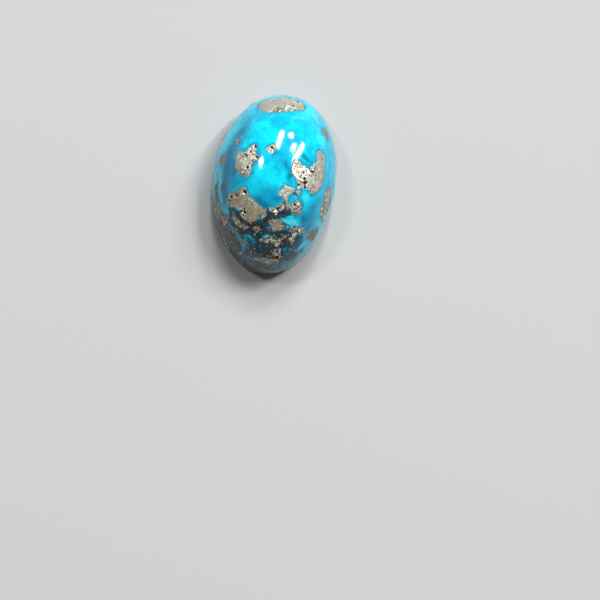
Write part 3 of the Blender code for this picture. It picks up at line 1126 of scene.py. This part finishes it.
def build_turquoise_group(finish):
    """Turquoise and its host rock: zone masks in, and colour, rock mask, metal and height out.

    Away is the distance to the nearest pyrite patch in millimetres. Broad and fine noise cloud
    the blue. The same noise frays the edges of every zone. Deep blue fills the Deep zones, partly
    painted shade, and a band of painted shade round every patch. Small grains of pyrite lie in
    the rock, the brightest with a painted highlight.
    """
    nodes, zone, out = new_group(
        "Turquoise Colour", ("Deep", "Pale", "Rock", "Rust", "Away"),
        ("Color", "Rock", "Metal", "Height"))
    where = nodes.place()
    broad = nodes.noise(where, 0.26)
    fine = nodes.noise(where, 1.1, detail=6.0, roughness=0.6, distortion=0.5)
    crumb = nodes.noise(where, 5.5, detail=5.0, roughness=0.65)
    fray = nodes.plus(nodes.minus(fine, 0.5), nodes.times(nodes.minus(crumb, 0.5), 0.4))

    cloud = nodes.soft_step(nodes.plus(broad, nodes.times(fray, 0.5)), 0.36, 0.66)
    colour = nodes.blend(cloud, finish.blue, finish.cyan)
    ridge = nodes.noise(where, 0.75, detail=4.0, roughness=0.5, distortion=0.6)
    ridge = nodes.maths("ABSOLUTE", nodes.minus(ridge, 0.5))
    vein = nodes.soft_step(ridge, 0.0, 0.035, start=0.38, end=0.0)
    vein = nodes.times(vein, nodes.soft_step(fine, 0.42, 0.6))
    # Painted shade: a band of deep blue round every pyrite patch
    painted_shade_ring = nodes.soft_step(zone["Away"], 0.02, 0.5, start=0.75, end=0.0)
    painted_shade_ring = nodes.times(painted_shade_ring, nodes.soft_step(broad, 0.3, 0.6))
    # Deep zones: darker turquoise, and painted shade down the left side and round the lower end
    deep = nodes.soft_step(nodes.plus(zone["Deep"], nodes.times(fray, 0.8)), 0.12, 1.0)
    colour = nodes.blend(nodes.most(deep, painted_shade_ring, vein), colour, finish.deep)
    pale = nodes.soft_step(nodes.plus(zone["Pale"], nodes.times(fray, 0.9)), 0.22, 0.95)
    colour = nodes.blend(pale, colour, finish.pale)
    colour = nodes.tint(colour, nodes.soft_step(crumb, 0.3, 0.72, start=0.92, end=1.05))

    # Host rock; round the lower end partly painted shade
    reach = nodes.soft_step(zone["Rock"], 0.04, 0.4, end=1.7)
    frayed = nodes.times_plus(fray, reach, zone["Rock"])
    colour = nodes.blend(nodes.soft_step(frayed, 0.08, 0.42), colour, finish.navy)
    rock = nodes.soft_step(frayed, 0.42, 0.66)
    brown = nodes.blend(nodes.soft_step(fine, 0.45, 0.62), finish.rock, finish.clay)
    mottle = nodes.noise(where, 3.2, detail=5.0, roughness=0.7)
    mottle = nodes.soft_step(mottle, 0.4, 0.62, start=0.55, end=1.7)
    colour = nodes.blend(rock, colour, nodes.tint(brown, mottle))
    reach = nodes.soft_step(zone["Rust"], 0.04, 0.3, end=1.5)
    frayed = nodes.times_plus(fray, reach, zone["Rust"])
    stain = nodes.soft_step(frayed, 0.35, 0.65, end=0.9)
    colour = nodes.blend(stain, colour, nodes.tint(finish.rust, mottle))

    gritty = nodes.times(rock, nodes.soft_step(fine, 0.42, 0.56, start=0.1, end=0.95))
    speck, painted_highlight_share = rock_glints(nodes, where, crumb, gritty, zone["Away"])
    # Grains of pyrite in the rock, the brightest painted near white as highlights
    colour = nodes.blend(speck, colour, nodes.blend(painted_highlight_share, finish.dull, finish.painted_highlight))
    nodes.fill(out, {
        "Color": colour, "Rock": rock, "Metal": nodes.times(speck, 0.45),
        "Height": nodes.minus(crumb, nodes.times(rock, 0.6))})


def build_pyrite_group(finish):
    """Pyrite: a mass of small grains, each a plane with a tone and a lean of its own.

    Where it sparkles the grains stand out: the bright ones are painted highlights, near white, and
    others black. Where it doesn't they merge, to khaki in a dull patch and to silver in a bright
    one, its cool grey partly a painted reflection of the sky. Pits and the patch's rim take the
    pit colour, dirt and painted shade. The height is each grain's plane, taken over its offset
    from the middle.
    """
    nodes, given, out = new_group(
        "Pyrite Grain", ("Tone", "Pit", "Sparkle", "Depth"),
        ("Color", "Roughness", "Metal", "Height"))
    where = nodes.place()
    sparkle = given["Sparkle"]
    fine = nodes.noise(where, 7.0, detail=5.0, roughness=0.65)
    cloud = nodes.noise(where, 0.8)
    bent = nodes.noise(where, 3.0, detail=2.0)
    place, cells, chance = nodes.cells(where, 4.4, shake=bent, reach=0.12)
    offset = nodes.vector("SUBTRACT", place, cells["Position"])[0]
    lean = nodes.vector("SUBTRACT", cells["Color"], (0.5, 0.5, 0.5))[0]
    plane = nodes.times(nodes.vector("DOT_PRODUCT", offset, lean)["Value"], sparkle)

    # Painted highlights: the bright grains, blended near white
    bright = nodes.times(nodes.soft_step(chance[1], 0.6, 0.8), sparkle)
    black = nodes.soft_step(nodes.plus(chance[2], nodes.times(sparkle, 0.36)), 1.0, 1.04)
    black = nodes.times(black, nodes.soft_step(cells["Distance"], 0.3, 0.45, start=1.0, end=0.0))
    colour = nodes.blend(nodes.soft_step(cloud, 0.4, 0.62), finish.pyrite, finish.tarnish)
    # Silver, partly a painted reflection of the sky, on the bright flat patches
    smooth = nodes.blend(nodes.soft_step(given["Tone"], 0.8, 0.88), finish.khaki, finish.silver)
    colour = nodes.blend(nodes.soft_step(sparkle, 0.05, 0.45, start=0.85, end=0.0), colour, smooth)
    tone = nodes.times(given["Tone"], nodes.soft_step(fine, 0.3, 0.7, start=0.8, end=1.15))
    tone = nodes.times(tone, nodes.times_plus(nodes.minus(chance[0], 0.5), sparkle, 1.0))
    colour = nodes.blend(bright, nodes.tint(colour, tone), finish.painted_highlight)

    # Painted shade along the patch's rim, where it meets the stone
    edge = nodes.plus(given["Depth"], nodes.times(fine, 0.12))
    edge = nodes.soft_step(edge, 0.04, 0.2, start=0.8, end=0.0)
    spots = nodes.soft_step(nodes.noise(where, 4.5, detail=4.0, roughness=0.6), 0.64, 0.7, end=0.8)
    # Dirt and painted shade in the pits and holes
    pit = nodes.soft_step(given["Pit"], 0.1, 0.75)
    dark = nodes.most(edge, spots, nodes.times(black, 0.9), pit)
    rough = nodes.times_plus(dark, 0.3, nodes.soft_step(fine, 0.3, 0.7, start=0.28, end=0.42))
    rough = nodes.plus(rough, nodes.soft_step(sparkle, 0.1, 0.7, start=0.22, end=0.0), clamp=True)
    metal = nodes.soft_step(sparkle, 0.05, 0.5, start=0.28, end=0.6)
    # Less metal on the dark parts and on the painted highlights
    metal = nodes.minus(metal, nodes.times(nodes.most(dark, bright), 0.35), clamp=True)
    nodes.fill(out, {
        "Color": nodes.blend(dark, colour, finish.pit), "Roughness": rough, "Metal": metal,
        "Height": nodes.plus(nodes.times(plane, 0.8 / MM), nodes.times(fine, 0.008))})


def new_material(name):
    """An empty material, its nodes and its shader."""
    material = bpy.data.materials.new(name)
    material.use_nodes = True
    return material, Nodes(material.node_tree), material.node_tree.nodes["Principled BSDF"]


def connect(nodes, shader, colour, roughness, metallic, height, depth):
    """Join a finish's parts to its shader, the height through a bump of a depth in millimetres."""
    bump = nodes.add("ShaderNodeBump", {"Height": height, "Distance": depth * MM, "Strength": 1.0})
    nodes.fill(shader, {
        "Base Color": colour, "Roughness": roughness, "Metallic": metallic, "Normal": bump.outputs[0]})


def polished_turquoise(finish):
    """The polished dome, its zones of colour read from the vertex values."""
    material, nodes, shader = new_material("polished_turquoise")
    zones = {name.capitalize(): nodes.value(name) for name in ZONES}
    away = nodes.times(nodes.value("pyrite_depth"), -1.0)
    stone = nodes.group("Turquoise Colour", {**zones, "Away": away})
    rough = nodes.plus(nodes.times(stone["Rock"], 0.16), finish.polish)
    connect(nodes, shader, stone["Color"], rough, stone["Metal"], stone["Height"], depth=0.002)
    shader.inputs["IOR"].default_value = STONE_IOR
    return material


def sawn_turquoise():
    """The sawn back: the same stone left matte, with pyrite cut through and fine saw marks."""
    material, nodes, shader = new_material("sawn_turquoise")
    where = nodes.place()
    patchy = nodes.noise(where, 0.2, detail=4.0, roughness=0.6)
    islands = nodes.noise(where, 0.42, detail=4.0, distortion=0.3)
    along = nodes.add("ShaderNodeSeparateXYZ", {0: where}).outputs["Y"]
    rocky = nodes.plus(islands, nodes.soft_step(along, -3.5 * MM, -9.5 * MM, end=0.26))
    stone = nodes.group("Turquoise Colour", {
        "Deep": nodes.soft_step(patchy, 0.5, 0.7), "Pale": nodes.soft_step(patchy, 0.42, 0.3, end=0.8),
        "Rock": nodes.soft_step(rocky, 0.48, 0.68), "Rust": nodes.soft_step(patchy, 0.66, 0.8),
        "Away": 2.0})
    grain = nodes.group("Pyrite Grain", {"Tone": 0.9, "Pit": 0.0, "Sparkle": 0.4, "Depth": 1.0})
    cut = nodes.soft_step(islands, 0.615, 0.63)
    colour = nodes.blend(cut, stone["Color"], grain["Color"])
    rough = nodes.soft_step(cut, 0.0, 1.0, start=0.62, end=0.48)
    stretched = nodes.add(
        "ShaderNodeMapping", {"Vector": where, "Rotation": (0.0, 0.0, 0.3), "Scale": (0.03, 1.0, 1.0)})
    marks = nodes.noise(stretched.outputs[0], 5.0, roughness=0.6)
    height = nodes.plus(marks, stone["Height"])
    connect(nodes, shader, colour, rough, nodes.times(cut, 0.8), height, depth=0.02)
    shader.inputs["IOR"].default_value = STONE_IOR
    return material


def set_pyrite():
    """Pyrite in the dome, its grains read from the vertex values."""
    material, nodes, shader = new_material("pyrite")
    values = {name.capitalize(): nodes.value(name) for name in PYRITE_VALUES}
    grain = nodes.group("Pyrite Grain", values)
    connect(
        nodes, shader, grain["Color"], grain["Roughness"], grain["Metal"], grain["Height"], depth=1.0)
    return material


class TURQUOISE_OT_stone(bpy.types.Operator):
    """Add the polished stone with its matte back"""
    bl_idname = "turquoise.stone"
    bl_label = "Add Stone"
    bl_options = {"REGISTER", "UNDO"}

    def execute(self, context):
        scene = context.scene
        stone = make_stone(scene.turquoise_stone, scene.turquoise_pyrite)
        build_turquoise_group(scene.turquoise_finish)
        build_pyrite_group(scene.turquoise_finish)
        stone.data.materials.append(polished_turquoise(scene.turquoise_finish))
        stone.data.materials.append(sawn_turquoise())
        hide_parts("stone")
        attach(stone, "root")
        return {"FINISHED"}


class TURQUOISE_OT_pyrite(bpy.types.Operator):
    """Add the pyrite set in the stone"""
    bl_idname = "turquoise.pyrite"
    bl_label = "Add Pyrite"
    bl_options = {"REGISTER", "UNDO"}

    def execute(self, context):
        scene = context.scene
        if "Pyrite Grain" not in bpy.data.node_groups:
            raise RuntimeError("add the stone before its pyrite")
        pyrite = make_pyrite(scene.turquoise_pyrite, scene.turquoise_stone)
        pyrite.data.materials.append(set_pyrite())
        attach(pyrite, "root")
        return {"FINISHED"}


def add_floor(settings):
    """A large, pale, matte floor just under the stone."""
    half = settings.floor_size / 2
    drop = -0.02 * MM
    mesh = bpy.data.meshes.new("floor")
    corners = [(-half, -half, drop), (half, -half, drop), (half, half, drop), (-half, half, drop)]
    mesh.from_pydata(corners, [], [(0, 1, 2, 3)])
    floor = bpy.data.objects.new("floor", mesh)
    bpy.context.scene.collection.objects.link(floor)
    material, _, shader = new_material("floor")
    shader.inputs["Base Color"].default_value = settings.floor
    shader.inputs["Roughness"].default_value = 0.8
    mesh.materials.append(material)


def add_lamps(settings):
    """A flat lamp along each stretch of sky that a highlight on the dome mirrors."""
    for name, (start, end, width) in LAMPS.items():
        start, end = (unit(np.array(direction)) for direction in (start, end))
        middle = unit(start + end)
        along = unit(start - end)
        distance = settings.lamp_distance
        size = (distance * float(np.linalg.norm(start - end)), distance * width)
        light = bpy.data.lights.new(name, "AREA")
        light.shape = "RECTANGLE"
        light.size, light.size_y = size
        light.energy = settings.lamp * math.pi * size[0] * size[1]
        lamp = bpy.data.objects.new(name, light)
        axes = np.stack([along, np.cross(middle, along), middle], axis=1)
        lamp.matrix_world = Matrix.Translation(distance * middle) @ Matrix(axes.tolist()).to_4x4()
        bpy.context.scene.collection.objects.link(lamp)


def add_camera(settings):
    """A camera that shows the target at its pixel, with the stone's long axis at its lean."""
    pixels_per_unit = settings.lens / SENSOR * PICTURE_SIZE
    tilt, bearing = settings.tilt, settings.bearing
    back = np.array([
        math.sin(tilt) * math.cos(bearing), math.sin(tilt) * math.sin(bearing), math.cos(tilt)])
    target = np.array([0.0, 0.0, TARGET_HEIGHT])
    ray = unit(np.array([
        (TARGET_PIXEL[0] - PICTURE_SIZE / 2) / pixels_per_unit,
        (PICTURE_SIZE / 2 - TARGET_PIXEL[1]) / pixels_per_unit, -1.0]))
    lean = np.array([math.sin(settings.roll), math.cos(settings.roll), 0.0])
    lean = unit(lean - ray * (ray @ lean))
    long_axis = np.array([0.0, 1.0, 0.0])
    long_axis = unit(long_axis - back * (back @ long_axis))
    there = np.stack([-back, long_axis, np.cross(-back, long_axis)], axis=1)
    here = np.stack([ray, lean, np.cross(ray, lean)], axis=1)
    turn = there @ here.T
    data = bpy.data.cameras.new("camera")
    data.lens = settings.lens
    data.sensor_width = SENSOR
    data.clip_start = 0.01
    camera = bpy.data.objects.new("camera", data)
    place = target + settings.distance * back
    camera.matrix_world = Matrix.Translation(place) @ Matrix(turn.tolist()).to_4x4()
    bpy.context.scene.collection.objects.link(camera)
    bpy.context.scene.camera = camera


def add_sky(settings):
    """Soft light from all round, stronger from the sides than from above."""
    world = bpy.data.worlds.new("studio")
    world.use_nodes = True
    nodes = Nodes(world.node_tree)
    direction = nodes.add("ShaderNodeTexCoord").outputs["Generated"]
    up = nodes.add("ShaderNodeSeparateXYZ", {0: direction}).outputs["Z"]
    glow = nodes.soft_step(up, 0.0, 0.5, start=settings.horizon, end=settings.sky)
    nodes.fill(world.node_tree.nodes["Background"], {"Color": settings.light, "Strength": glow})
    bpy.context.scene.world = world


class TURQUOISE_OT_stage(bpy.types.Operator):
    """Add the floor, the lights and the camera"""
    bl_idname = "turquoise.stage"
    bl_label = "Add Stage"
    bl_options = {"REGISTER", "UNDO"}

    def execute(self, context):
        settings = context.scene.turquoise_stage
        add_floor(settings)
        add_lamps(settings)
        add_camera(settings)
        add_sky(settings)
        context.scene.view_settings.view_transform = "Standard"
        return {"FINISHED"}


class TURQUOISE_PT_panel(bpy.types.Panel):
    """Sizes and colours of the cabochon, and a button for each piece"""
    bl_label = "Turquoise Cabochon"
    bl_idname = "TURQUOISE_PT_panel"
    bl_space_type = "VIEW_3D"
    bl_region_type = "UI"
    bl_category = "Turquoise"

    def draw(self, context):
        for operator, settings in STEPS:
            box = self.layout.box()
            for name in settings:
                group = getattr(context.scene, name)
                for setting in group.bl_rna.properties.keys():
                    if setting not in ("rna_type", "name"):
                        box.prop(group, setting)
            box.operator(operator.bl_idname)


SETTINGS = {
    "turquoise_stone": StoneSettings,
    "turquoise_pyrite": PyriteSettings,
    "turquoise_finish": FinishSettings,
    "turquoise_stage": StageSettings,
}
STEPS = (
    (TURQUOISE_OT_stone, ("turquoise_stone", "turquoise_finish")),
    (TURQUOISE_OT_pyrite, ("turquoise_pyrite",)),
    (TURQUOISE_OT_stage, ("turquoise_stage",)),
)
CLASSES = (*SETTINGS.values(), *(operator for operator, _ in STEPS), TURQUOISE_PT_panel)


def register():
    for each in CLASSES:
        bpy.utils.register_class(each)
    for name, group in SETTINGS.items():
        setattr(bpy.types.Scene, name, PointerProperty(type=group))


def unregister():
    for name in SETTINGS:
        delattr(bpy.types.Scene, name)
    for each in reversed(CLASSES):
        bpy.utils.unregister_class(each)


def main():
    register()
    bpy.ops.turquoise.stone()
    bpy.ops.turquoise.pyrite()
    bpy.ops.turquoise.stage()


if __name__ == "__main__":
    main()
